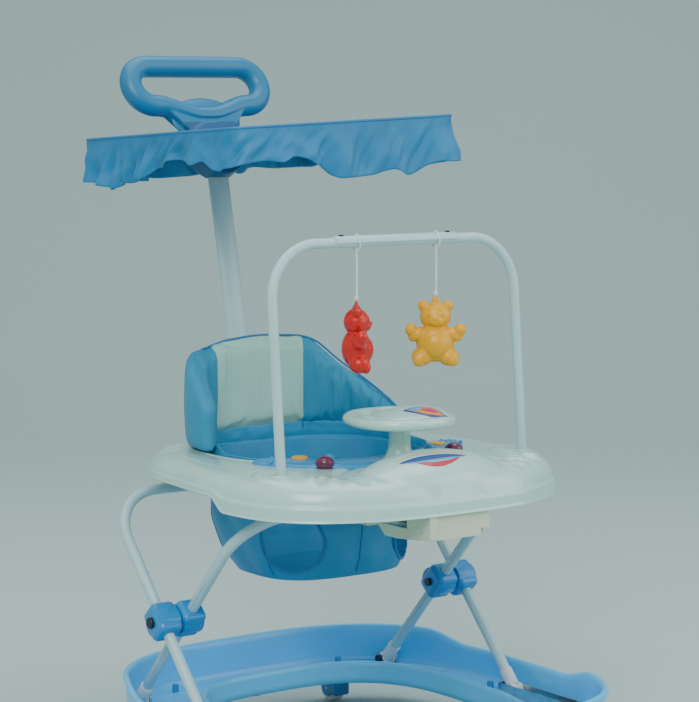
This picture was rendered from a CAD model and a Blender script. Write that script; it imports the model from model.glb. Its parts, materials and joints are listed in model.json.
"""Looks of a folding baby walker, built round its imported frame."""

import json
import math
import random

import bpy
import bmesh
from mathutils import Matrix, Vector, noise


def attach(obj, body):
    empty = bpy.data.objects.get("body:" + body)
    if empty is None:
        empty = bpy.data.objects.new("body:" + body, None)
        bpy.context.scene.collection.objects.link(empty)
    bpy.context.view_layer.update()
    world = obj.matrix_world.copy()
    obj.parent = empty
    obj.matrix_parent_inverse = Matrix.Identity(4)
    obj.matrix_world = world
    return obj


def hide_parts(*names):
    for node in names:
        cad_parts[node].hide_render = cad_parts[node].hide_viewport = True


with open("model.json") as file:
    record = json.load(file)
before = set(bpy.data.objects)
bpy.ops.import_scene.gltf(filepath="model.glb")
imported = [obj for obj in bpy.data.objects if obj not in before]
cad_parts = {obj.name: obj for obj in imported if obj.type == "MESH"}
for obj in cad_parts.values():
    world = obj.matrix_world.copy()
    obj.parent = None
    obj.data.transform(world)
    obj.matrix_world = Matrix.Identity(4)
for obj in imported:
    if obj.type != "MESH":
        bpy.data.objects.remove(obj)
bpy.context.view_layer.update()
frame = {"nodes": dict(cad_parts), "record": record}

# Lengths are in millimetres in the row frame, and become metres where a mesh is made.
MM = 0.001
TAU = 2 * math.pi
SEAT_Y = 24.0
BASE_Y = -74.0
DOME = (0.0, -245.0, 420.0)
DOME_HALF = (127.0, 70.0, 49.0)
COLUMN_Y = -175.0
WHEEL_Z = 504.0
TOY_BAR_Y = -163.0
TOY_BAR_Z = 754.0
RED_TOY_X = -66
YELLOW_TOY_X = 72
BUTTON_SPOT = (121, -104)
KNOB_SPOT = (113, -154)
HUB = Vector((0, 306, 869))
CANOPY_MID_Y = 162.0
CANOPY_HALF_X = 196.0
CANOPY_HALF_Y = 221.0
CANOPY_CORNER = 34.0
CANOPY_FRONT_Y = -60.0
CANOPY_LENGTH = 444.0
CANOPY_FRONT_Z = 920.0
CANOPY_REAR_Z = 897.0
CANOPY_ROLL = math.radians(2.5)
HANDLE_LEAN = math.radians(28)
TRAY_EDGE_Z = 390.0
TRAY_CREASE_Z = 410.0
TRAY_DECK_Z = 442.0
KERB_HALF_X = 195.0
KERB_HALF_Y = 210.0
LEG_HOLE_R = 45.0
SLING_LEVELS = [(434, 160, 144, 26, 2.2), (400, 154, 137, 28, 2.2), (372, 150, 126, 38, 2.6),
                (335, 142, 125, 38, 3.0), (290, 130, 112, 32, 3.0), (262, 114, 94, 26, 3.0)]
CASTER_SPOTS = [(-150, -338), (150, -338), (-248, -74), (248, -74), (-150, 188), (150, 188)]
TRAY_HALF_OUTLINE = [
    (0, -316), (70, -314), (130, -303), (196, -272), (234, -236), (254, -195), (262, -140),
    (262, -60), (255, 10), (243, 100), (208, 158), (120, 205), (0, 230)]
BACKREST_FOOT = 443.0
BACKREST_TOP_LEFT = [(48, 472), (70, 486), (109, 507), (145, 531), (160, 544), (172, 564), (180, 582),
                     (190, 597)]
BACKREST_TOP_RIGHT = [(44, 500), (58, 518), (84, 540), (120, 562), (148, 573), (170, 583), (182, 592),
                      (190, 597)]
SEAMS = [math.radians(a) for a in (64, 123)]


# ---------------------------------------------------------------- materials
def linear(red, green, blue):
    """Linear colour from 8-bit screen values."""
    values = [v / 255 for v in (red, green, blue)]
    return [v / 12.92 if v <= 0.04045 else ((v + 0.055) / 1.055) ** 2.4 for v in values] + [1.0]


def shader(name):
    made = bpy.data.materials.new(name)
    made.use_nodes = True
    return made, made.node_tree, made.node_tree.nodes["Principled BSDF"]


def noise_node(tree, scale, detail=3.0):
    place = tree.nodes.new("ShaderNodeTexCoord")
    cloud = tree.nodes.new("ShaderNodeTexNoise")
    cloud.inputs["Scale"].default_value = scale
    cloud.inputs["Detail"].default_value = detail
    tree.links.new(place.outputs["Object"], cloud.inputs["Vector"])
    return cloud


def mottled_colour(tree, target, colour, amount, scale):
    """Colour that drifts a little darker and lighter over the surface."""
    ramp = tree.nodes.new("ShaderNodeValToRGB")
    ramp.color_ramp.elements[0].position = 0.3
    ramp.color_ramp.elements[1].position = 0.7
    ramp.color_ramp.elements[0].color = [c * (1 - amount) for c in colour[:3]] + [1.0]
    ramp.color_ramp.elements[1].color = [min(1.0, c * (1 + amount)) for c in colour[:3]] + [1.0]
    tree.links.new(noise_node(tree, scale).outputs["Fac"], ramp.inputs["Fac"])
    tree.links.new(ramp.outputs["Color"], target)


def varied_roughness(tree, target, middle, spread, scale):
    span = tree.nodes.new("ShaderNodeMapRange")
    span.inputs["To Min"].default_value = max(0.02, middle - spread)
    span.inputs["To Max"].default_value = min(1.0, middle + spread)
    tree.links.new(noise_node(tree, scale).outputs["Fac"], span.inputs["Value"])
    tree.links.new(span.outputs["Result"], target)


def bumped(tree, target, scale, strength, distance, detail=3.0):
    bump = tree.nodes.new("ShaderNodeBump")
    bump.inputs["Strength"].default_value = strength
    bump.inputs["Distance"].default_value = distance
    tree.links.new(noise_node(tree, scale, detail).outputs["Fac"], bump.inputs["Height"])
    tree.links.new(bump.outputs["Normal"], target)


def surface(name, rgb, mottle, rough, grain, **inputs):
    """Material with drifting colour and roughness and a fine grain.

    mottle is (amount, scale), rough is (middle, spread, scale), grain is (scale, strength, depth).
    """
    made, tree, skin = shader(name)
    mottled_colour(tree, skin.inputs["Base Color"], linear(*rgb), *mottle)
    varied_roughness(tree, skin.inputs["Roughness"], *rough)
    bumped(tree, skin.inputs["Normal"], *grain)
    for label, value in inputs.items():
        skin.inputs[label.replace("_", " ")].default_value = value
    return made


def moulded(name, rgb, rough=0.32, coat=0.25, mottle=0.03, grain=260.0, depth=0.00012):
    """Injection-moulded plastic: satin skin with a faint orange peel."""
    return surface(name, rgb, (mottle, 9.0), (rough, 0.05, 30.0), (grain, 0.35, depth),
                   IOR=1.48, Coat_Weight=coat, Coat_Roughness=0.16)


def powder_coated(name, rgb):
    return surface(name, rgb, (0.04, 14.0), (0.38, 0.07, 40.0), (900.0, 0.25, 0.00006, 5.0),
                   Coat_Weight=0.2, Coat_Roughness=0.25)


def metal(name, rgb, rough):
    return surface(name, rgb, (0.08, 60.0), (rough, 0.08, 90.0), (1500.0, 0.2, 0.00003), Metallic=1.0)


def rubber(name, rgb):
    return surface(name, rgb, (0.08, 40.0), (0.72, 0.08, 60.0), (700.0, 0.5, 0.00015))


def cloth(name, rgb, rough=0.62, sheen=0.06, mottle=0.07, crease=0.0009):
    """Woven nylon: fine thread pattern, soft creases and a faint sheen."""
    made, tree, skin = shader(name)
    mottled_colour(tree, skin.inputs["Base Color"], linear(*rgb), mottle, 11.0)
    varied_roughness(tree, skin.inputs["Roughness"], rough, 0.08, 45.0)
    skin.inputs["Sheen Weight"].default_value = sheen
    skin.inputs["Sheen Roughness"].default_value = 0.45
    place = tree.nodes.new("ShaderNodeTexCoord")
    threads = tree.nodes.new("ShaderNodeTexWave")
    threads.inputs["Scale"].default_value = 420.0
    threads.inputs["Distortion"].default_value = 1.5
    tree.links.new(place.outputs["Object"], threads.inputs["Vector"])
    weave = tree.nodes.new("ShaderNodeBump")
    weave.inputs["Strength"].default_value = 0.25
    weave.inputs["Distance"].default_value = 0.0001
    tree.links.new(threads.outputs["Fac"], weave.inputs["Height"])
    folds = tree.nodes.new("ShaderNodeBump")
    folds.inputs["Strength"].default_value = 0.5
    folds.inputs["Distance"].default_value = crease
    tree.links.new(noise_node(tree, 55.0, 4.0).outputs["Fac"], folds.inputs["Height"])
    tree.links.new(weave.outputs["Normal"], folds.inputs["Normal"])
    tree.links.new(folds.outputs["Normal"], skin.inputs["Normal"])
    return made


def matt(name, rgb):
    made, tree, skin = shader(name)
    mottled_colour(tree, skin.inputs["Base Color"], linear(*rgb), 0.012, 0.7)
    skin.inputs["Roughness"].default_value = 0.95
    skin.inputs["Specular IOR Level"].default_value = 0.1
    return made


# Each row gives the screen colour, then what the maker of that material takes after it.
MOULDED = {
    "base_blue": ((84, 196, 252), 0.3),
    "tray_mint": ((180, 222, 212), 0.2, 0.75),
    "joint_blue": ((26, 138, 204), 0.3),
    "white_nylon": ((214, 220, 218), 0.45, 0.05),
    "caster_blue": ((44, 132, 190), 0.35),
    "wheel_white": ((206, 212, 210), 0.4, 0.1),
    "console_blue": ((44, 142, 196), 0.28),
    "yellow_plastic": ((232, 168, 0), 0.32, 0.05),
    "maroon_plastic": ((104, 24, 66), 0.2, 0.5),
    "red_plastic": ((204, 20, 10), 0.28, 0.12),
    "cream_plastic": ((206, 218, 190), 0.38, 0.1),
    "grey_plastic": ((128, 134, 136), 0.45, 0.05),
    "handle_blue": ((18, 116, 158), 0.42, 0.1, 0.04, 180.0, 0.0002),
    "hub_blue": ((12, 88, 134), 0.45, 0.05),
    "decal_blue": ((30, 64, 150), 0.3, 0.3),
    "decal_red": ((196, 40, 70), 0.3, 0.3),
    "decal_orange": ((226, 150, 50), 0.3, 0.3),
    "decal_magenta": ((206, 50, 110), 0.3, 0.3),
    "decal_light": ((88, 170, 214), 0.3, 0.3),
}
CLOTHS = {
    "blue_fabric": ((26, 142, 180),),
    "mint_fabric": ((160, 212, 196),),
    "lining_fabric": ((34, 150, 194),),
    "sling_fabric": ((32, 138, 184), 0.56, 0.05, 0.09),
    "canopy_fabric": ((18, 124, 176), 0.54, 0.05, 0.09),
    "piping_blue": ((18, 116, 172), 0.5),
    "cord_cotton": ((222, 226, 220), 0.8, 0.1, 0.05, 0.0002),
}
M = {name: moulded(name, *look) for name, look in MOULDED.items()}
M.update({name: cloth(name, *look) for name, look in CLOTHS.items()})
M["tube_white"] = powder_coated("tube_white", (180, 214, 216))
M["dark_steel"] = metal("dark_steel", (70, 74, 80), 0.4)
M["bright_steel"] = metal("bright_steel", (190, 194, 198), 0.3)
M["grey_rubber"] = rubber("grey_rubber", (92, 96, 100))
M["backdrop"] = matt("backdrop", (178, 200, 198))


# ---------------------------------------------------------------- mesh helpers
def linked(name, data):
    made = bpy.data.objects.new(name, data)
    bpy.context.scene.collection.objects.link(made)
    return made


def painted(made, *paints):
    """Gives an object these materials in place of the ones it has."""
    made.data.materials.clear()
    for paint in paints:
        made.data.materials.append(M[paint])
    return made


def mesh_object(name, points, faces, paint):
    mesh = bpy.data.meshes.new(name)
    mesh.from_pydata([Vector(p) * MM for p in points], [], faces)
    mesh.validate()
    return smooth(painted(linked(name, mesh), paint))


def smooth(made):
    for face in made.data.polygons:
        face.use_smooth = True
    return made


def grid_object(name, rows, paint, closed=False, skip=None):
    """Surface through rows of points; a closed one joins each row's end to its start."""
    columns = len(rows[0])
    faces = []
    for r in range(len(rows) - 1):
        for c in range(columns if closed else columns - 1):
            d = (c + 1) % columns
            if skip is None or not skip(r, c):
                near, far = r * columns, (r + 1) * columns
                faces.append((near + c, near + d, far + d, far + c))
    made = mesh_object(name, [p for row in rows for p in row], faces, paint)
    return cleaned(made) if skip else made


def cleaned(made):
    """Drops points that belong to no face."""
    work = bmesh.new()
    work.from_mesh(made.data)
    bmesh.ops.delete(work, geom=[v for v in work.verts if not v.link_faces], context="VERTS")
    work.to_mesh(made.data)
    work.free()
    return made


def turned_out(made, inside):
    """Faces look away from a point inside the piece."""
    centre = Vector(inside) * MM
    total = sum((f.normal.dot(f.center - centre)) * f.area for f in made.data.polygons)
    if total < 0:
        made.data.flip_normals()
    return made


def facing_up(made):
    """Faces of an open surface look up on the whole."""
    if sum(f.normal.z * f.area for f in made.data.polygons) < 0:
        made.data.flip_normals()
    return made


def evaluated_mesh(made):
    graph = bpy.context.evaluated_depsgraph_get()
    return bpy.data.meshes.new_from_object(made.evaluated_get(graph))


def applied(made):
    mesh = evaluated_mesh(made)
    made.modifiers.clear()
    made.data = mesh
    return smooth(made)


def thickened(made, millimetres, offset=-1.0):
    """Gives a surface a wall, inwards unless the offset says otherwise."""
    solid = made.modifiers.new("wall", "SOLIDIFY")
    solid.thickness = millimetres * MM
    solid.offset = offset
    return applied(made)


def subdivided(made, levels=1):
    finer = made.modifiers.new("finer", "SUBSURF")
    finer.levels = levels
    finer.render_levels = levels
    return applied(made)


def remeshed(made, voxel, passes=4):
    """One closed skin over overlapping solids, with the steps of the voxels smoothed off."""
    skin = made.modifiers.new("skin", "REMESH")
    skin.mode = "VOXEL"
    skin.voxel_size = voxel * MM
    relax = made.modifiers.new("relax", "SMOOTH")
    relax.factor = 0.5
    relax.iterations = passes
    paints = list(made.data.materials)
    applied(made)
    made.data.materials.clear()
    for paint in paints:
        made.data.materials.append(paint)
    return made


def moved_points(made, change):
    """Each point of a mesh, in millimetres, goes where change sends it."""
    for vertex in made.data.vertices:
        vertex.co = change(vertex.co / MM) * MM
    made.data.update()
    return made


def joined(name, pieces, paint):
    """One mesh of several closed pieces, which it takes the place of."""
    points, faces = [], []
    for piece in pieces:
        start = len(points)
        points += [v.co / MM for v in piece.data.vertices]
        faces += [tuple(start + i for i in f.vertices) for f in piece.data.polygons]
    made = mesh_object(name, points, faces, paint)
    for piece in pieces:
        bpy.data.objects.remove(piece)
    return made


def round_line(name, points, radius, paint, closed=False, roundness=3, fineness=3):
    """Curve object with a round section along a smooth line through the points."""
    curve = bpy.data.curves.new(name, "CURVE")
    curve.dimensions = "3D"
    curve.bevel_depth = radius * MM
    curve.bevel_resolution = roundness
    line = curve.splines.new("NURBS")
    line.points.add(len(points) - 1)
    for point, spot in zip(line.points, points):
        point.co = list(Vector(spot) * MM) + [1.0]
    line.order_u = 3
    line.use_endpoint_u = not closed
    line.use_cyclic_u = closed
    line.resolution_u = fineness
    curve.use_fill_caps = not closed
    return painted(linked(name, curve), paint)


def tube(name, points, radius, paint, closed=False):
    """Round bead along a smooth line, as a mesh."""
    made = round_line(name, points, radius, paint, closed)
    mesh = evaluated_mesh(made)
    bpy.data.objects.remove(made)
    return smooth(painted(linked(name, mesh), paint))


def lathe(name, profile, centre, paint, steps=56):
    """Round solid from (radius, height) points, about an upright axis."""
    turns = [TAU * k / steps for k in range(steps)]
    x, y, z = centre
    rows = [[(x + radius * math.cos(a), y + radius * math.sin(a), z + height) for a in turns]
            for radius, height in profile]
    return grid_object(name, rows, paint, closed=True)


def ball(centre, half, turn=None, steps=20):
    """Ellipsoid used as a building block of a blown or moulded shape."""
    spin = turn or Matrix.Identity(3)
    rows = []
    for i in range(steps + 1):
        polar = math.pi * min(max(i / steps, 0.004), 0.996)
        ring = []
        for k in range(2 * steps):
            around = TAU * k / (2 * steps)
            local = Vector((half[0] * math.sin(polar) * math.cos(around),
                            half[1] * math.sin(polar) * math.sin(around), half[2] * math.cos(polar)))
            ring.append(spin @ local + Vector(centre))
        rows.append(ring)
    return grid_object("block", rows, "tray_mint", closed=True)


def reach(half_x, half_y, power, angle):
    """Distance from an oval's middle to its edge in a direction."""
    return (abs(math.cos(angle) / half_x) ** power + abs(math.sin(angle) / half_y) ** power) ** (-1 / power)


def seat_reach(angle, grow=0.0):
    """Distance to the seat opening's edge, which is squarer behind its middle."""
    depth, power = (160, 3.0) if math.sin(angle) > 0 else (146, 2.1)
    return reach(168 + grow, depth + grow, power, angle)


def seat_point(angle, distance, z):
    """Point at a distance from the upright axis through the seat's middle."""
    return distance * math.cos(angle), SEAT_Y + distance * math.sin(angle), z


def oval_point(half_x, half_y, mid_y, power, angle):
    far = reach(half_x, half_y, power, angle)
    return Vector((far * math.cos(angle), mid_y + far * math.sin(angle), 0))


def ramp(low, high, value):
    """Smooth rise from 0 at low to 1 at high."""
    share = min(max((value - low) / (high - low), 0.0), 1.0)
    return share * share * (3 - 2 * share)


def hill(distance, width):
    """Smooth bump, 1 high at no distance."""
    return math.exp(-(distance / width) ** 2)


def squared(value, power):
    """Sine or cosine bent towards a box's corners, with its sign kept."""
    return math.copysign(abs(value) ** power, value)


def spline_through(points, per_span):
    """Closed Catmull-Rom curve."""
    curve = []
    count = len(points)
    for i in range(count):
        a, b, c, d = (Vector(points[(i + k) % count]) for k in (-1, 0, 1, 2))
        for step in range(per_span):
            t = step / per_span
            curve.append(0.5 * ((2 * b) + (c - a) * t + (2 * a - 5 * b + 4 * c - d) * t ** 2
                                + (3 * b - a - 3 * c + d) * t ** 3))
    return curve


def place(made, body, slot, *nodes):
    """Sets what a finished piece moves with, its material slot and the CAD nodes it stands for."""
    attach(made, body)
    if nodes:
        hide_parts(*nodes)
    return made


# ---------------------------------------------------------------- tray
def tray_outline_reach():
    """Function from a direction at the seat's middle to the tray's edge."""
    half = [(x, y, 0) for x, y in TRAY_HALF_OUTLINE]
    loop = spline_through(half + [(-x, y, 0) for x, y, _ in half[-2:0:-1]], 24)
    polar = sorted((math.atan2(p.y - SEAT_Y, p.x) % TAU, math.hypot(p.x, p.y - SEAT_Y)) for p in loop)
    polar = [(polar[-1][0] - TAU, polar[-1][1])] + polar + [(polar[0][0] + TAU, polar[0][1])]

    def edge(angle):
        angle %= TAU
        for (a, far_a), (b, far_b) in zip(polar, polar[1:]):
            if a <= angle <= b:
                return far_a + (far_b - far_a) * (angle - a) / max(b - a, 1e-9)
        return polar[0][1]
    return edge


def dome_height(x, y):
    """Height of the bonnet over a spot, and 0 beside it."""
    inside = 1 - ((x - DOME[0]) / DOME_HALF[0]) ** 2 - ((y - DOME[1]) / DOME_HALF[1]) ** 2
    return DOME[2] + DOME_HALF[2] * math.sqrt(inside) if inside > 0 else 0.0


def fan_ribs(x, y, centre, heading, spread, near, far, count):
    """Shell-like ribs that fan out from a centre."""
    dx, dy = abs(x) - centre[0], y - centre[1]
    distance = math.hypot(dx, dy)
    off = (math.atan2(dy, dx) - heading + math.pi) % TAU - math.pi
    if abs(off) > spread or not near < distance < far:
        return 0.0
    wave = 0.5 - 0.5 * math.cos(TAU * count * (off + spread) / (2 * spread))
    return 3.2 * wave * ramp(near, near + 18, distance) * (1 - ramp(far - 16, far, distance))


def button_pockets(x, y):
    """Depth of the pockets under the console, into which its buttons and knobs are pressed."""
    depth = 0.0
    for spot, radius in ((BUTTON_SPOT, 12.6), (KNOB_SPOT, 13.6)):
        away = math.hypot(abs(x) - spot[0], y - spot[1])
        depth = max(depth, 9 * (1 - ramp(radius, radius + 2.4, away)))
    return depth


def deck_relief(x, y):
    """Lobes, scallops and ribs moulded into the tray's top."""
    lobe = math.hypot((abs(x) - 207) / 32, (y + 192) / 60)
    lift = 4.0 * (1 - ramp(0.84, 1.06, lobe)) - 1.6 * hill(lobe - 1.1, 0.07)
    lift += fan_ribs(x, y, (132, 96), math.radians(38), 0.5, 40, 104, 3)
    lift += fan_ribs(x, y, (112, -186), math.radians(-58), 0.6, 46, 112, 4)
    ring = math.hypot(x / 140, (y + 245) / 84)
    lift -= 3.2 * hill(ring - 1.0, 0.06)
    return lift - button_pockets(x, y)


def rim_height(y, z):
    """Height on the tray's rolled edge and lip, which both step up behind the toy bar."""
    rise = ramp(-128, -92, y)
    bottom, crease = TRAY_EDGE_Z + 20 * rise, TRAY_CREASE_Z + 8 * rise
    if z >= TRAY_CREASE_Z:
        return crease + (z - TRAY_CREASE_Z) * (TRAY_DECK_Z - crease) / (TRAY_DECK_Z - TRAY_CREASE_Z)
    return bottom + (z - TRAY_EDGE_Z) / (TRAY_CREASE_Z - TRAY_EDGE_Z) * (crease - bottom)


def deck_height(x, y, width, share):
    """Height of the tray's top at a share of the way out, a little arched where it is wide."""
    arch = 1.5 * math.sin(math.pi * share) * ramp(60, 110, width)
    return max(441.6 + arch + deck_relief(x, y), dome_height(x, y))


def roll_height(x, y, inset, level):
    z = rim_height(y, level)
    if level > 413:
        z = max(z + ramp(8, 34, inset) * deck_relief(x, y), dome_height(x, y))
    return z


def tray_shell():
    """Tray as one surface from the opening's lip over the top and the roll to the lower edge."""
    edge = tray_outline_reach()
    steps = 560
    lip = [(0, 404), (0, 420), (0, 432), (0.8, 438), (3, 441.6), (6.5, 443), (10, 442)]
    roll = [(38, 440.9), (33, 440.4), (28, 439.5), (23, 438.2), (17, 435.4), (12, 431.4), (7.8, 426.5),
            (5.2, 420.5), (3.8, 415.5), (3.4, 412.6), (2.6, 411), (1.4, 410.2), (0.4, 408.6), (0, 405)]
    rows = []
    directions = [TAU * k / steps for k in range(steps)]
    holes = [seat_reach(a) for a in directions]
    edges = [edge(a) for a in directions]

    def drawn_in(h, e):
        """Share of the full roll that fits where the deck is narrow."""
        return min(1.0, (e - h - 12) / 60)

    def add_ring(distance, height):
        """Ring of points whose distance and height follow from the seat's edge and the tray's."""
        row = []
        for a, h, e in zip(directions, holes, edges):
            x, y, _ = seat_point(a, distance(h, e), 0)
            row.append((x, y, height(x, y, e - h)))
        rows.append(row)

    for offset, z in lip:
        add_ring(lambda h, e: h + offset,
                 lambda x, y, width: z - (button_pockets(x, y) if offset > 1 else 0))
    spans = 60
    for k in range(1, spans):
        share = k / spans
        add_ring(lambda h, e: h + 10 + (e - 38 * drawn_in(h, e) - h - 10) * share,
                 lambda x, y, width: deck_height(x, y, width, share))
    for inset, level in roll:
        add_ring(lambda h, e: e - inset * drawn_in(h, e),
                 lambda x, y, width: roll_height(x, y, inset, level))
    for share, flare in ((0.35, 0.2), (0.7, 0.2), (0.88, 0.6), (0.95, 1.6), (1.0, 1.8)):
        add_ring(lambda h, e: e + flare, lambda x, y, width: rim_height(y, 405 - 15 * share))
    shell = facing_up(grid_object("tray", rows, "tray_mint", closed=True))
    thickened(shell, 2.8)
    return place(shell, "tray", "tray_mint", "tray_shell")


def bar_bosses():
    """Raised collars where the toy bar plugs into the tray."""
    rings = []
    for side in (-1, 1):
        profile = [(7.3, 2), (7.3, 11), (8.6, 12.4), (10.6, 12), (12.2, 10), (14.2, 7.4), (18.5, 5.2),
                   (19, 3)]
        rings.append(lathe("boss", profile, (side * 210, -189.4, 434), "tray_mint"))
    return place(joined("bar_bosses", rings, "tray_mint"), "tray", "tray_mint")


def console():
    """Blue crescent round the front of the seat, a smooth moulding with ball ends and finger bumps."""
    rows = []
    start, end, steps, around = math.radians(206.5), math.radians(333.5), 170, 32
    for k in range(steps + 1):
        angle = start + (end - start) * k / steps
        inner = seat_reach(angle, 3.5)
        outer = reach(202, 222, 2.1, angle)
        along = min(k, steps - k) / steps * (end - start) * (inner + outer) / 2
        taper = math.sqrt(max(0.0004, 1 - (1 - min(along / 24, 1)) ** 2))
        middle = (inner + outer) / 2
        half = ((outer - inner) / 2 - 0.8) * (0.25 + 0.75 * taper) * (1 if taper > 0.03 else 0.1)
        loop = []
        for j in range(around):
            turn = TAU * j / around
            across, up = squared(math.cos(turn), 0.6), squared(math.sin(turn), 0.6)
            distance = middle + half * across
            x, y, z = seat_point(angle, distance, 442.6 + 6.0 * up * taper)
            if up > 0.6:
                z += console_bumps(x, y) + 1.2 * (1 - across ** 2)
            loop.append((x, y, z))
        rows.append(loop)
    deck = turned_out(grid_object("deck", rows, "console_blue", closed=True), (0, -140, 442))
    parts = [deck]
    for side in (-1, 1):
        parts.append(ball((side * 88, -130, 449), (8, 8, 8)))
        for step in range(3):
            parts.append(ball((side * (150 + 3 * step), -77 - 9 * step, 448.6), (3.6, 3.6, 3.4), steps=10))
            parts.append(ball((side * (162 + 3 * step), -82 - 9 * step, 448.4), (3.2, 3.2, 3.2), steps=10))
    place(joined("console", parts, "console_blue"), "tray", "console_blue", "console_deck")


def console_bumps(x, y):
    """Raised rings round each button and knob."""
    lift = 0.0
    for spot, radius in ((BUTTON_SPOT, 15.5), (KNOB_SPOT, 16.5)):
        lift += 1.4 * hill(math.hypot(abs(x) - spot[0], y - spot[1]) - radius, 2.0)
    return lift


def dome_patch(name, start, end, low, high, paint):
    """Sticker band that lies on the dome between two edges, tapering to its tips."""
    rows = []
    for r in range(5):
        row = []
        for c in range(27):
            share = c / 26
            x = start[0] + (end[0] - start[0]) * share
            y = start[1] + (end[1] - start[1]) * share
            y -= (low + (high - low) * r / 4) * math.sin(math.pi * share ** 0.8) ** 0.8
            row.append((x, y, dome_height(x, y) + 0.35))
        rows.append(row)
    made = grid_object(name, rows, paint)
    return thickened(made, 0.3, 0.0)


def decal():
    """Sticker on the bonnet, as four curved bands of printed film."""
    bands = [dome_patch("decal_blue_band", (-70, -267), (40, -276), -3, 8, "decal_blue"),
             dome_patch("decal_light_band", (-66, -268), (36, -277), 8, 12, "decal_light"),
             dome_patch("decal_red_band", (-52, -271), (26, -279), 12, 20, "decal_red"),
             dome_patch("decal_orange_band", (-72, -261), (44, -270), -6, -3.8, "decal_orange")]
    for band in bands:
        place(band, "tray", "printed_film")
    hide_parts("bonnet_decal")


def steering():
    """Column moulded on the tray, and the wheel with its raised pad."""
    profile = [(0.3, 0), (22, 0), (22, 1.2), (21, 3), (19, 6.5), (17.2, 11), (16, 16), (15.3, 22),
               (15, 32), (15, 43), (14.2, 44.6), (0.3, 44.8)]
    column = lathe("steering_column_moulding", profile, (0, COLUMN_Y, 448), "tray_mint")
    place(column, "tray", "tray_mint", "steering_column")
    rim = []
    for k in range(96):
        angle = TAU * k / 96
        centre = oval_point(68, 66, COLUMN_Y, 2.3, angle)
        side = Vector((math.cos(angle), math.sin(angle), 0))
        bulge = 9.0 + 1.6 * ramp(0.2, 0.9, math.sin(angle))
        rim.append([centre + side * bulge * math.cos(TAU * j / 20)
                    + Vector((0, 0, WHEEL_Z + 0.9 * bulge * math.sin(TAU * j / 20))) for j in range(20)])
    rim.append(rim[0])
    parts = [grid_object("rim", rim, "tray_mint", closed=True),
             ball((6, COLUMN_Y - 12, WHEEL_Z + 3), (58, 50, 13)),
             ball((16, COLUMN_Y - 18, WHEEL_Z + 5), (46, 40, 15), Matrix.Rotation(-0.6, 3, "Z")),
             ball((0, COLUMN_Y + 40, WHEEL_Z), (15, 34, 8)),
             ball((0, COLUMN_Y, WHEEL_Z - 4), (19, 19, 8))]
    for side in (-1, 1):
        parts.append(ball((side * 46, COLUMN_Y + 4, WHEEL_Z + 1), (28, 15, 8)))
    wheel = joined("steering_wheel_moulding", parts, "tray_mint")
    remeshed(wheel, 1.8, 6)
    place(wheel, "steering", "tray_mint", "steering_wheel")
    badge(wheel)


def leaf(name, centre, size, lift, paint, onto):
    """Leaf-shaped film laid slantwise on the wheel's pad."""
    turn = math.radians(-35)
    rows = []
    for r in range(11):
        side = r / 5 - 1
        row = []
        for c in range(25):
            along = c / 12 - 1
            half = math.cos(along * math.pi / 2) ** 0.9 if abs(along) < 1 else 0.0
            u, v = size[0] * along, size[1] * half * side
            row.append((centre[0] + u * math.cos(turn) - v * math.sin(turn),
                        centre[1] + u * math.sin(turn) + v * math.cos(turn), WHEEL_Z + 40))
        rows.append(row)
    made = grid_object(name, rows, paint)
    wrap = made.modifiers.new("lay", "SHRINKWRAP")
    wrap.target = onto
    wrap.wrap_method = "PROJECT"
    wrap.use_project_z = True
    wrap.use_negative_direction = True
    wrap.use_positive_direction = False
    wrap.offset = lift * MM
    return applied(made)


def badge(wheel):
    """Leaf-shaped badge of four films, one on another."""
    films = [leaf("badge_border", (12, COLUMN_Y - 44), (32, 13), 0.3, "decal_blue", wheel),
             leaf("badge_field", (12, COLUMN_Y - 44), (27, 9.5), 0.55, "decal_orange", wheel),
             leaf("badge_light", (0, COLUMN_Y - 36), (11, 5), 0.75, "decal_light", wheel),
             leaf("badge_heart", (17, COLUMN_Y - 47), (13, 5.5), 0.8, "decal_magenta", wheel)]
    for film in films:
        place(film, "steering", "printed_film")
    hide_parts("steering_badge")


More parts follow.
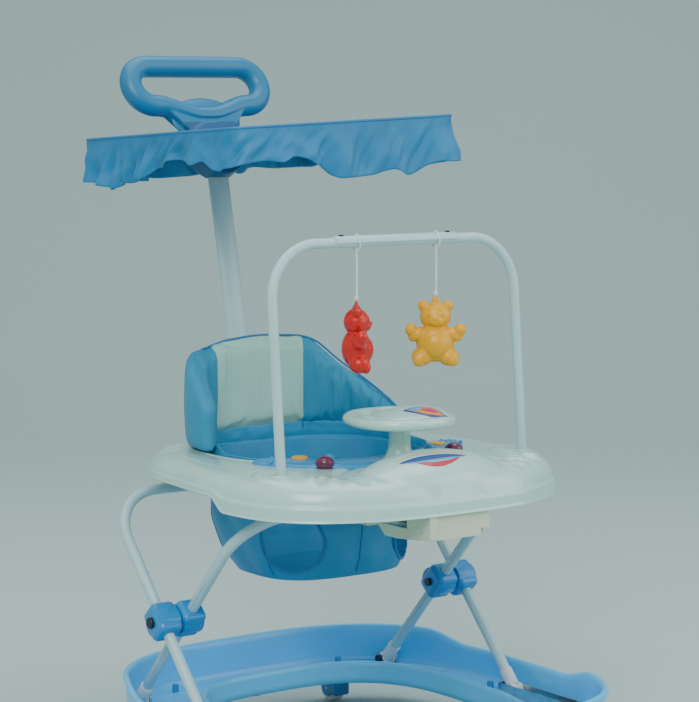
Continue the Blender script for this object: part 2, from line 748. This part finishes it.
# ---------------------------------------------------------------- base
def base_shell():
    """Blue ring tub: inner kerb, floor with caster domes, outer wall with a rolled rim."""
    steps = 480
    rows = []

    def lowered(y, z):
        """The outer wall is a little lower along the sides."""
        dip = 17 * ramp(-262, -180, y) * (1 - ramp(40, 125, y))
        return z - dip * max(0.0, z - 58) / 57

    def loop(half_x, half_y, z, bulge=0.0, rise=0.0):
        row = []
        for k in range(steps):
            angle = TAU * k / steps
            p = oval_point(half_x, half_y, BASE_Y, 2.9 if math.sin(angle) > 0 else 3.6, angle)
            near = max(hill(math.hypot(p.x - cx, p.y - cy), 62) for cx, cy in CASTER_SPOTS)
            out = Vector((math.cos(angle), math.sin(angle), 0)) * bulge * near
            row.append((p.x + out.x, p.y + out.y, z + rise * near))
        return row

    inner = [(0, 49), (0, 60), (0, 74), (0.5, 79.5), (2, 82), (4, 81.6), (5.2, 79), (5.6, 70), (6.4, 58),
             (9, 53.5)]
    for offset, z in inner:
        rows.append(loop(KERB_HALF_X + offset, KERB_HALF_Y + offset, z))
    for share in [k / 14 for k in range(1, 14)]:
        half_x, half_y = KERB_HALF_X + 10 + 82 * share, KERB_HALF_Y + 10 + 81 * share
        rows.append(loop(half_x, half_y, 52.5, 0, 9 * math.sin(math.pi * share)))
    outer = [(290, 54, 0), (294, 58, 1.5), (295.6, 66, 2.4), (296.4, 86, 2.6), (297, 104, 2),
             (298, 111, 1), (299.4, 114.4, 0), (301.4, 115.4, 0), (303.8, 114.2, 0), (304.8, 111.4, 0),
             (304, 108.8, 0), (301.6, 107.6, 0.6), (301, 104, 2), (300.4, 86, 3), (299.6, 66, 2.6),
             (298, 54, 1.4), (297, 48.6, 0)]
    for half_x, z, bulge in outer:
        rows.append([(x, y, lowered(y, height)) for x, y, height in loop(half_x, half_x + 14, z, bulge)])
    shell = turned_out(grid_object("base", rows, "base_blue", closed=True), (0, BASE_Y, 80))
    thickened(shell, 2.4, 0.0)
    return place(shell, "base", "base_blue", "base_shell")


# ---------------------------------------------------------------- toys and cords
def bear(name, x, turn, paint, body):
    """Blow-moulded toy bear with a raised muzzle, round tummy and a hanging tab."""
    top = TOY_BAR_Z - 7 - 0.4 - 74
    parts = [ball((0, 0, top - 29), (22, 18, 19)), ball((0, -14, top - 34), (11, 7, 8)),
             ball((0, -20.4, top - 31), (3.6, 2.4, 2.6), steps=10),
             ball((0, 0, top - 66), (27, 21, 28)), ball((0, -11, top - 68), (18, 13, 19)),
             ball((0, 0, top - 8), (6, 3.2, 7.6), steps=12)]
    for side in (-1, 1):
        parts.append(ball((side * 17, 0, top - 14), (8, 6, 8), steps=14))
        parts.append(ball((side * 17, -4, top - 14), (4.6, 3.4, 4.6), steps=10))
        parts.append(ball((side * 9, -16.4, top - 25), (2.6, 2, 3.2), steps=8))
        parts.append(ball((side * 26, -4, top - 54), (14, 10, 9.5), Matrix.Rotation(side * 0.5, 3, "Y")))
        parts.append(ball((side * 35, -7, top - 47), (8.5, 8.5, 9), steps=14))
        parts.append(ball((side * 19, -4, top - 86), (15, 15, 13), steps=16))
        parts.append(ball((side * 24, -13, top - 90), (9, 7, 9), steps=12))
    made = joined(name, parts, paint)
    remeshed(made, 1.1, 5)
    spin = Matrix.Rotation(math.radians(turn), 3, "Z")
    normals = [v.normal.copy() for v in made.data.vertices]
    for vertex, normal in zip(made.data.vertices, normals):
        parting_line = 0.5 * hill(vertex.co.y / MM, 0.9)
        point = vertex.co / MM + normal * parting_line
        vertex.co = (spin @ point + Vector((x, TOY_BAR_Y, 0))) * MM
    made.data.update()
    return place(smooth(made), body, paint, name)


def toy_cord(name, x, body):
    """Cotton cord from the bar to the toy's tab, hanging with a slight bow."""
    bow = [(0, 0, 746.2), (0.5, -0.4, 728), (0.9, 0.2, 708), (0.4, -0.5, 690), (0, 0, 672.4)]
    points = [(x + dx, TOY_BAR_Y + dy, z) for dx, dy, z in bow]
    cord = round_line(name, points, 1.5, "cord_cotton", roundness=4, fineness=12)
    knot = knot_piece(name + "_knot", x)
    place(cord, body, "cord_cotton", name)
    place(knot, body, "cord_cotton")
    [c * MM for c in points[0]]


def knot_piece(name, x):
    """Overhand knot where the cord meets the toy's tab."""
    turns = []
    for k in range(26):
        angle = 2.2 * TAU * k / 25
        turns.append((x + 2.3 * math.cos(angle), TOY_BAR_Y + 2.3 * math.sin(angle), 679 - 5.5 * k / 25))
    return tube(name, turns, 1.3, "cord_cotton")


def bar_loops():
    """Cord tied round the toy bar above each toy."""
    for colour, x in (("red", RED_TOY_X), ("yellow", YELLOW_TOY_X)):
        points = []
        for k in range(22):
            turn = TAU * k / 22
            flattened = 1.2 if k in range(8, 15) else 0
            points.append((x + 1.1 * math.sin(2 * turn), TOY_BAR_Y + 8.7 * math.sin(turn),
                           TOY_BAR_Z + 10.6 * math.cos(turn) - flattened))
        ring = tube("cord_loop_" + colour, points, 1.3, "cord_cotton", closed=True)
        place(ring, "toy_bar", "cord_cotton")


# ---------------------------------------------------------------- handle
def handle():
    """Blown ring whose lower bar slants down to a rounded web above the hub."""
    upward = Vector((0, math.sin(HANDLE_LEAN), math.cos(HANDLE_LEAN)))
    grip = linked("handle_ring_moulding", frame["nodes"]["handle_ring"].data.copy())
    remeshed(painted(grip, "handle_blue"), 2.0, 8)
    place(grip, "push_handle", "handle_blue", "handle_ring")

    def slanted(point):
        high = (point - HUB).dot(upward)
        near_middle = 1 - ramp(8, 84, abs(point.x))
        return point - upward * 20 * near_middle * ramp(48, 76, high) * (1 - ramp(92, 128, high))

    moved_points(grip, slanted)
    web = ball(HUB + upward * 55, (62, 8, 38), Matrix.Rotation(-HANDLE_LEAN, 3, "X"), steps=28)
    web.name = "handle_web"
    place(painted(web, "handle_blue"), "push_handle", "handle_blue")
    grip.data.materials.append(M["hub_blue"])
    for face in grip.data.polygons:
        centre = face.center / MM
        if math.hypot(centre.y - HUB.y, centre.z - HUB.z) < 47 and abs(centre.x) < 47:
            face.material_index = 1


# ---------------------------------------------------------------- canopy
def canopy_plane(x, y):
    """Height of the canopy, which slopes down to the back and hangs lower on the right."""
    fall = (y - CANOPY_FRONT_Y) / CANOPY_LENGTH * (CANOPY_REAR_Z - CANOPY_FRONT_Z)
    return CANOPY_FRONT_Z + fall + x * math.tan(CANOPY_ROLL)


def rounded_edge(step):
    """Points round the canopy's edge with their outward directions and distances along it."""
    flat_x, flat_y = CANOPY_HALF_X - CANOPY_CORNER, CANOPY_HALF_Y - CANOPY_CORNER
    corners = [(-flat_x, -flat_y, 180), (flat_x, -flat_y, 270), (flat_x, flat_y, 0), (-flat_x, flat_y, 90)]
    outline = []
    for x, y, start in corners:
        for k in range(9):
            angle = math.radians(start + 90 * k / 8)
            outward = Vector((math.cos(angle), math.sin(angle), 0))
            outline.append(Vector((x, y, 0)) + outward * CANOPY_CORNER)
    outline.append(outline[0])
    lengths = [0.0]
    for a, b in zip(outline, outline[1:]):
        lengths.append(lengths[-1] + (b - a).length)
    count = int(lengths[-1] / step)
    edge = []
    for k in range(count):
        along = lengths[-1] * k / count
        i = max(j for j in range(len(outline) - 1) if lengths[j] <= along)
        share = (along - lengths[i]) / (lengths[i + 1] - lengths[i])
        p = outline[i].lerp(outline[i + 1], share)
        run = (outline[i + 1] - outline[i]).normalized()
        edge.append((p, Vector((run.y, -run.x, 0)), along))
    return edge, lengths[-1]


def canopy_top():
    """Stretched cloth with a slit for the handle and a little sag between its wires."""
    slit_u = 72 / CANOPY_HALF_X
    slit_v = [(y - CANOPY_MID_Y) / CANOPY_HALF_Y for y in (292, 348)]
    even_u = [round(k / 34, 5) for k in range(-34, 35) if abs(abs(k / 34) - slit_u) > 0.012]
    even_v = [round(k / 40, 5) for k in range(-40, 41) if min(abs(k / 40 - v) for v in slit_v) > 0.01]
    across = sorted(even_u + [-slit_u, slit_u])
    down = sorted(even_v + slit_v)
    flat_x, flat_y = CANOPY_HALF_X - CANOPY_CORNER, CANOPY_HALF_Y - CANOPY_CORNER
    rows = []
    for v in down:
        row = []
        for u in across:
            x, y = CANOPY_HALF_X * u, CANOPY_HALF_Y * v
            dx, dy = abs(x) - flat_x, abs(y) - flat_y
            if dx > 0 and dy > 0:
                squeeze = max(dx, dy) / math.hypot(dx, dy)
                x = math.copysign(flat_x + dx * squeeze, x)
                y = math.copysign(flat_y + dy * squeeze, y)
            inside = (1 - u ** 4) * (1 - v ** 4)
            crease = noise.noise(Vector((x / 55, y / 90, 3.1))) * 2.6
            crease += noise.noise(Vector((x / 22, y / 30, 7))) * 0.9
            near_wire = 1 - hill(y - (HUB.y - CANOPY_MID_Y), 34)
            sag = 8.0 * (1 - u * u) * (1 - v * v) * near_wire
            level = canopy_plane(x, CANOPY_MID_Y + y) - 1.0
            row.append((x, CANOPY_MID_Y + y, level - inside * sag + inside * crease * 0.8))
        rows.append(row)

    def in_slit(r, c):
        u, v = (across[c] + across[c + 1]) / 2, (down[r] + down[r + 1]) / 2
        return abs(u) < slit_u and slit_v[0] < v < slit_v[1]

    top = facing_up(grid_object("canopy_top", rows, "canopy_fabric", skip=in_slit))
    thickened(top, 0.9)
    place(top, "canopy", "canopy_fabric", "canopy_fabric")
    hem = [(-72, 292), (0, 291), (72, 292), (73, 320), (72, 348), (0, 349), (-72, 348), (-73, 320)]
    bead = [(x, y, canopy_plane(x, y) - 3.2) for x, y in hem]
    place(tube("canopy_slit_hem", bead, 1.6, "piping_blue", closed=True), "canopy", "canopy_fabric")


def skirt_drop(edge_share):
    """Depth of the skirt round the edge, starting at the right-hand front corner and going left."""
    stops = [(0.0, 54), (0.03, 52), (0.067, 45), (0.1, 58), (0.122, 75), (0.17, 75), (0.2, 78),
             (0.235, 68), (0.27, 66), (0.36, 66), (0.46, 60), (0.55, 64), (0.7, 62), (0.76, 66), (0.8, 70),
             (0.823, 74), (0.84, 71), (0.853, 60), (0.875, 66), (0.892, 51), (0.92, 42), (0.962, 43),
             (0.985, 54), (1.0, 54)]
    for (a, low), (b, high) in zip(stops, stops[1:]):
        if a <= edge_share <= b:
            return low + (high - low) * ramp(a, b, edge_share)
    return 54


def canopy_skirt():
    """Soft valance: smooth at the piping, with broad uneven folds and slanting creases lower down."""
    edge, length = rounded_edge(2.2)
    random.seed(11)
    phases = [random.uniform(0, TAU) for _ in range(8)]
    rows = []
    levels = 24
    for r in range(levels + 1):
        t = r / levels
        loose = ramp(0.12, 1.0, t)
        row = []
        for p, out, along in edge:
            share = along / length
            wander = 1.7 * math.sin(along / 53 + phases[1])
            folds = 0.6 * math.sin(along / 11 + wander + 0.9 * t + phases[2])
            wander = 1.4 * math.sin(along / 71 + phases[3])
            folds += 0.5 * math.sin(along / 17.5 + wander - t + phases[4])
            slant = noise.noise(Vector(((along + 46 * t) / 17, (along - 46 * t) / 70, 6.0)))
            dents = noise.noise(Vector((along / 34, t * 2.2, 9.0)))
            flare = 13 * hill(share - 0.248, 0.017)
            ruffled = ramp(0.72, 0.77, share) * (1 - ramp(0.87, 0.92, share))
            ruffle = 7.5 * ruffled * math.sin(along / 5.6 + 1.6 * math.sin(along / 27))
            outward = 0.6 + 5.4 * slant * ramp(0.05, 0.4, t) + 6.0 * dents * t
            outward += loose * (6.2 * folds + 2.5 + flare + ruffle)
            swing = 3.0 * loose * math.cos(along / 11 + phases[2])
            lift = 4.0 * loose * math.sin(along / 19 + 1.5 * math.sin(along / 33 + phases[7]))
            x = p.x + out.x * outward - out.y * swing
            y = CANOPY_MID_Y + p.y + out.y * outward + out.x * swing
            level = canopy_plane(p.x, CANOPY_MID_Y + p.y) - 2.2
            row.append((x, y, level - skirt_drop(share) * t + lift * t))
        rows.append(row)
    skirt = grid_object("canopy_skirt", rows, "canopy_fabric", closed=True)
    turned_out(skirt, (0, CANOPY_MID_Y, 880))
    thickened(skirt, 0.8, 0.0)
    place(skirt, "canopy", "canopy_fabric")
    rim = [(p.x, CANOPY_MID_Y + p.y, canopy_plane(p.x, CANOPY_MID_Y + p.y) - 1.6) for p, _, _ in edge[::4]]
    place(tube("canopy_piping", rim, 2.3, "piping_blue", closed=True), "canopy", "canopy_fabric")


# ---------------------------------------------------------------- seat
def height_along(stops, y):
    for (a, low), (b, high) in zip(stops, stops[1:]):
        if y <= b:
            return low + (high - low) * min(max((y - a) / (b - a), 0.0), 1.0)
    return stops[-1][1]


def backrest_top(x, y):
    """Height of the backrest's top edge; its right-hand wing stands up taller than the left."""
    right = ramp(50, 140, -x)
    return height_along(BACKREST_TOP_LEFT, y) * (1 - right) + height_along(BACKREST_TOP_RIGHT, y) * right


def backrest_inner(angle):
    return reach(154, 151, 3.0, angle)


def backrest_outer(angle):
    return reach(181, 165, 3.0, angle)


def backrest_blank():
    """Closed pad with rounded edges, before it is filled."""
    rows = []
    first, last, steps = math.radians(7), math.radians(173), 120
    for k in range(steps + 1):
        angle = first + (last - first) * k / steps
        inner, outer = backrest_inner(angle), backrest_outer(angle)
        top = backrest_top(outer * math.cos(angle), SEAT_Y + outer * math.sin(angle)) + 4
        end = min(k, steps - k) / steps * math.pi * 160
        taper = math.sqrt(max(0.02, 1 - (1 - min(end / 10, 1)) ** 2))
        middle, half = (inner + outer) / 2, (outer - inner) / 2 * taper * 0.92
        loop = []
        for j in range(40):
            turn = TAU * j / 40
            across, up = squared(math.cos(turn), 0.7), squared(math.sin(turn), 0.35)
            distance = middle + half * across
            height = (top + BACKREST_FOOT) / 2 + (top - BACKREST_FOOT) / 2 * up
            loop.append(seat_point(angle, distance, height))
        rows.append(loop)
    blank = turned_out(grid_object("backrest", rows, "blue_fabric", closed=True), (0, 90, 500))
    return remeshed(blank, 4.5, 2)


def filled(made, cap, pressure=4.0):
    """Cloth under a little inner pressure; no point moves more than the cap."""
    before = [v.co.copy() for v in made.data.vertices]
    scene = bpy.context.scene
    soft = made.modifiers.new("fill", "CLOTH")
    soft.settings.use_pressure = True
    soft.settings.uniform_pressure_force = pressure
    soft.settings.quality = 5
    soft.settings.tension_stiffness = 14
    soft.settings.effector_weights.gravity = 0
    soft.point_cache.frame_start = 1
    soft.point_cache.frame_end = 20
    for number in range(1, 21):
        scene.frame_set(number)
    mesh = evaluated_mesh(made)
    scene.frame_set(1)
    made.modifiers.clear()
    for vertex, start in zip(mesh.vertices, before):
        step = vertex.co - start
        if step.length > cap * MM:
            vertex.co = start + step.normalized() * cap * MM
    made.data = mesh
    return smooth(made)


def backrest():
    """Padded backrest: blue sides, mint middle panel and stitched seams."""
    pad = backrest_blank()
    filled(pad, 7)
    subdivided(pad)
    painted(pad, "blue_fabric", "mint_fabric")

    def pressed(point):
        angle = math.atan2(point.y - SEAT_Y, point.x)
        distance = math.hypot(point.x, point.y - SEAT_Y)
        arc = min(abs(angle - s) for s in SEAMS) * 160
        top = backrest_top(point.x, point.y)
        share = (point.z - BACKREST_FOOT) / max(top - BACKREST_FOOT, 1)
        groove = 2.6 * hill(arc, 4.0)
        wave = 1.3 * noise.noise(Vector((angle * 9, point.z / 95, 2.0))) * ramp(0, 0.25, share)
        pull = 1.6 * noise.noise(Vector((angle * 22, point.z / 60, 5.0))) * ramp(0.1, 0.5, share)
        inner_side = distance < (backrest_inner(angle) + backrest_outer(angle)) / 2
        toward = -1 if inner_side else 1
        shift = (wave + pull - groove) * toward
        return point + Vector((math.cos(angle), math.sin(angle), 0)) * shift

    moved_points(pad, pressed)
    for face in pad.data.polygons:
        centre = face.center / MM
        angle = math.atan2(centre.y - SEAT_Y, centre.x)
        face.material_index = 1 if SEAMS[0] < angle < SEAMS[1] else 0
    place(smooth(pad), "tray", "blue_fabric", "backrest_cushion")
    backrest_trim(pad)


def crest_heights(pad):
    """Highest level of the pad in each direction from the seat's middle."""
    crest = {}
    for vertex in pad.data.vertices:
        point = vertex.co / MM
        degrees = 4 * round(math.degrees(math.atan2(point.y - SEAT_Y, point.x)) / 4)
        crest[degrees] = max(crest.get(degrees, 0.0), point.z)
    return crest


def backrest_trim(pad):
    """Piping down the two seams and along the pad's crest."""
    trims = []
    for angle in SEAMS:
        line = []
        far = backrest_inner(angle) + 0.6
        for k in range(14):
            high = backrest_top(far * math.cos(angle), SEAT_Y + (far + 14) * math.sin(angle)) - 8
            line.append(seat_point(angle, far, 447 + (high - 447) * k / 13))
        trims.append(tube("seam", line, 1.2, "piping_blue"))
    rim = []
    for degrees, height in sorted(crest_heights(pad).items()):
        if 12 <= degrees <= 128:
            angle = math.radians(degrees)
            far = (backrest_inner(angle) + backrest_outer(angle)) / 2
            rim.append(seat_point(angle, far, height - 0.4))
    trims.append(tube("top", rim, 1.6, "piping_blue"))
    place(joined("backrest_piping", trims, "piping_blue"), "tray", "blue_fabric")


def lining():
    """Quilted band that covers the front of the opening's wall and the foot of the backrest."""
    rows = []
    steps = 300
    for r in range(19):
        t = r / 18
        row = []
        for k in range(steps):
            angle = TAU * k / steps
            back = ramp(-0.1, 0.3, math.sin(angle))
            z_top = 444.5 + 12 * back
            z = z_top + (425 - z_top) * t
            quilt = abs(math.sin(angle * 9)) ** 0.5
            swell = 3.2 * quilt * math.sin(math.pi * min(max(t, 0.02), 0.98)) ** 0.6
            crumple = 1.4 * noise.noise(Vector((angle * 8, z / 12, 4.0)))
            far = seat_reach(angle, -2.5) - swell - crumple - 6 * back * (1 - t)
            hem = sling_point(angle, 430)
            far += (math.hypot(hem.x, hem.y - SEAT_Y) - 0.5 - far) * ramp(0.72, 1.0, t)
            row.append(seat_point(angle, far, z))
        rows.append(row)
    band = grid_object("seat_lining", rows, "lining_fabric", closed=True)
    thickened(band, 1.2, 0.0)
    place(band, "tray", "blue_fabric")


def sling_level(z):
    """Half width, half depth, middle and squareness of the sling at a height."""
    for (top, *upper), (bottom, *lower) in zip(SLING_LEVELS, SLING_LEVELS[1:]):
        if bottom <= z <= top:
            share = (top - z) / (top - bottom)
            return [a + (b - a) * share for a, b in zip(upper, lower)]
    return SLING_LEVELS[-1][1:] if z < SLING_LEVELS[-1][0] else SLING_LEVELS[0][1:]


def sling_point(angle, z, inset=1.5):
    half_x, half_y, mid_y, power = sling_level(z)
    fold = (1.7 * noise.noise(Vector((math.cos(angle) * 3.2, math.sin(angle) * 3.2, z / 160)))
            + 1.1 * math.sin(angle * 13 + z / 40)) * ramp(434, 396, z) * ramp(262, 282, z)
    far = reach(half_x - inset, half_y - inset, power, angle) + fold
    return Vector((far * math.cos(angle), mid_y + far * math.sin(angle), z))


def leg_hole_axis(side):
    """Start and direction of the line through one leg hole's middle."""
    start, end = Vector((side * 20, 10, 314)), Vector((side * 200, -130, 330))
    return start, (end - start).normalized()


def leg_hole_distance(point):
    """Distance from the axis of the nearer leg hole, for the hole's edge and hem."""
    start, along = leg_hole_axis(1 if point.x >= 0 else -1)
    offset = point - start
    ahead = offset.dot(along)
    return (offset - along * ahead).length if ahead > 20 else 999.0


def sling():
    """Hanging fabric seat with two leg holes, seams and bound edges."""
    rows = []
    steps, levels = 300, 64
    for r in range(levels + 1):
        z = 434 - (434 - 264) * r / levels
        rows.append([sling_point(TAU * k / steps, z) for k in range(steps)])
    for share in (0.96, 0.9, 0.8, 0.65, 0.45, 0.25, 0.1, 0.01):
        z = 264 - 3 * (1 - share) ** 0.5
        half_x, half_y, mid_y, power = sling_level(264)
        row = []
        for k in range(steps):
            angle = TAU * k / steps
            far = reach(half_x - 2, half_y - 2, power, angle) * share
            row.append((far * math.cos(angle), mid_y + far * math.sin(angle), z))
        rows.append(row)

    def in_hole(r, c):
        corners = [rows[r][c], rows[r + 1][c], rows[r][(c + 1) % steps], rows[r + 1][(c + 1) % steps]]
        middle = sum((Vector(p) for p in corners), Vector()) / 4
        return leg_hole_distance(middle) < LEG_HOLE_R + 0.5

    bag = grid_object("seat_sling_cloth", rows, "sling_fabric", closed=True, skip=in_hole)
    turned_out(bag, (0, 40, 340))
    smooth_hole_edges(bag)
    thickened(bag, 1.6, 0.0)
    place(bag, "tray", "blue_fabric", "seat_sling")
    hems = [leg_hem(side) for side in (-1, 1)]
    seams = []
    for degrees in (35, 145, 205, 335, 270):
        angle = math.radians(degrees)
        line = [sling_point(angle, 432 - k * 9, 0.2) for k in range(19)]
        line = [p for p in line if leg_hole_distance(p) > LEG_HOLE_R + 2]
        if len(line) > 3:
            seams.append(tube("seam", line, 1.1, "piping_blue"))
    place(joined("sling_seams", hems + seams, "piping_blue"), "tray", "blue_fabric")


def smooth_hole_edges(bag):
    """Moves the stepped edge of each leg hole onto the hole's own curve."""
    work = bmesh.new()
    work.from_mesh(bag.data)
    for vertex in work.verts:
        if vertex.is_boundary and vertex.co.z < 0.43:
            point = vertex.co / MM
            start, along = leg_hole_axis(1 if point.x >= 0 else -1)
            foot = start + along * (point - start).dot(along)
            away = point - foot
            if away.length > 1:
                vertex.co = (foot + away.normalized() * LEG_HOLE_R) * MM
    work.to_mesh(bag.data)
    work.free()


def leg_hem(side):
    """Bound edge of one leg hole, found by walking round the hole's axis."""
    start, along = leg_hole_axis(side)
    level = along.cross(Vector((0, 0, 1))).normalized()
    upward = level.cross(along).normalized()
    points = []
    for k in range(44):
        turn = TAU * k / 44
        ray = (level * math.cos(turn) + upward * math.sin(turn)) * LEG_HOLE_R
        for step in range(30, 190, 2):
            spot = start + along * step + ray
            if not 262 < spot.z < 434:
                continue
            half_x, half_y, mid_y, power = sling_level(spot.z)
            level_value = abs(spot.x / half_x) ** power + abs((spot.y - mid_y) / half_y) ** power
            if level_value > 0.97:
                points.append(spot)
                break
    return tube("hem", points, 2.0, "piping_blue", closed=True)


# ---------------------------------------------------------------- CAD pieces that stay
def dress_cad():
    """Material and softened edges for every CAD node that is shown as it is."""
    for part in frame["record"]["subparts"]:
        node = frame["nodes"][part["node"]]
        if node.hide_render:
            continue
        painted(node, part["material_slot"])
        merged = node.modifiers.new("merged", "WELD")
        merged.merge_threshold = 0.00001
        edge = node.modifiers.new("edge", "BEVEL")
        edge.width = 0.0006
        edge.segments = 2
        edge.limit_method = "ANGLE"
        edge.angle_limit = math.radians(40)


def camera():
    """Camera that sees the object as the reference view does."""
    lens = bpy.data.cameras.new("camera")
    lens.lens = 120.80
    lens.sensor_width = 36
    eye = linked("camera", lens)
    eye.location = (-1.955716, -2.799656, 0.949847)
    eye.rotation_euler = (math.radians(90 - 6.105), 0, math.radians(-35.462))
    bpy.context.scene.camera = eye


def area_light(name, spot, aim, size, watts):
    lamp = bpy.data.lights.new(name, "AREA")
    lamp.energy = watts
    lamp.size = size
    made = linked(name, lamp)
    made.location = spot
    made.rotation_euler = (Vector(aim) - Vector(spot)).to_track_quat("-Z", "Y").to_euler()


def studio():
    """Pale floor that curves up into a plain wall, with soft lights."""
    rows = []
    for k in range(60):
        t = k / 59
        if t < 0.5:
            depth, height = -6000 + 9000 * t / 0.5, 0.0
        else:
            bend = (t - 0.5) / 0.5
            depth = 3000 + 2200 * math.sin(min(bend * 2, 1) * math.pi / 2)
            height = 2200 * (1 - math.cos(min(bend * 2, 1) * math.pi / 2)) + max(bend * 2 - 1, 0) * 4000
        rows.append([(x * 600, depth, height) for x in range(-16, 17)])
    sweep = grid_object("studio_sweep", rows, "backdrop")
    sweep.data.transform(Matrix.Rotation(math.radians(-35.5), 4, "Z"))
    area_light("key", (-2.6, -2.4, 3.2), (0, 0, 0.5), 2.4, 104)
    area_light("fill", (2.6, -2.6, 2.0), (0, 0, 0.5), 3.0, 54)
    area_light("top", (0.2, 0.6, 3.6), (0, 0, 0.6), 3.0, 62)
    world = bpy.data.worlds.new("studio")
    world.use_nodes = True
    world.node_tree.nodes["Background"].inputs["Color"].default_value = (0.72, 0.78, 0.8, 1)
    world.node_tree.nodes["Background"].inputs["Strength"].default_value = 0.78
    bpy.context.scene.world = world


camera()
toy_cord("toy_cord_red", RED_TOY_X, "red_toy")
toy_cord("toy_cord_yellow", YELLOW_TOY_X, "yellow_toy")
bar_loops()
tray_shell()
bar_bosses()
console()
decal()
steering()
base_shell()
bear("toy_bear_red", RED_TOY_X, 55, "red_plastic", "red_toy")
bear("toy_bear_yellow", YELLOW_TOY_X, -35, "yellow_plastic", "yellow_toy")
handle()
canopy_top()
canopy_skirt()
backrest()
lining()
sling()
dress_cad()
studio()
